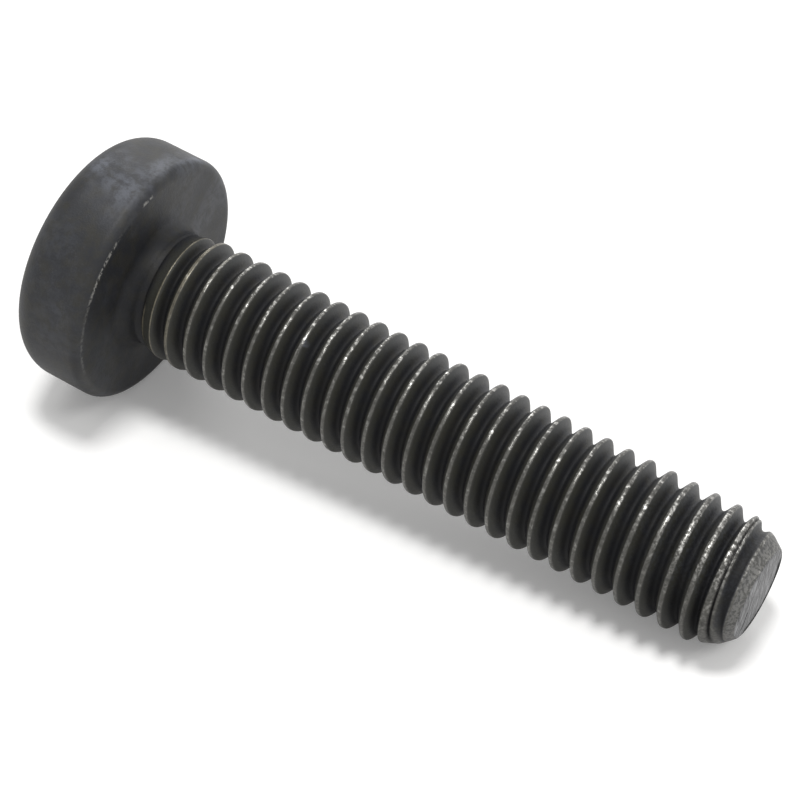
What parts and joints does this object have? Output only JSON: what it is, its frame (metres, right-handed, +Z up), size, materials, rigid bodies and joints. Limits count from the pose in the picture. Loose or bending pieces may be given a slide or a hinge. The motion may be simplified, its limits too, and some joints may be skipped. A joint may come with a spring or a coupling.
{
  "type": "machine screw",
  "caption": "Pan head machine screw with a full length right-hand metric thread, a cross recess and a short cone point.",
  "frame": {"origin": "on the ground, below the middle of the lying screw's box", "axes": "+Z up, +X along the screw's length from the head to the point as seen from above; the screw's own axis slopes down towards the point by 5.57 degrees"},
  "size_m": [0.0342, 0.0114, 0.0115],
  "materials": {
    "blackened_steel": "matte black conversion coating on steel, crests worn bright"
  },
  "bodies": {
    "root": {"machine_screw": "blackened_steel"}
  },
  "joints": []
}
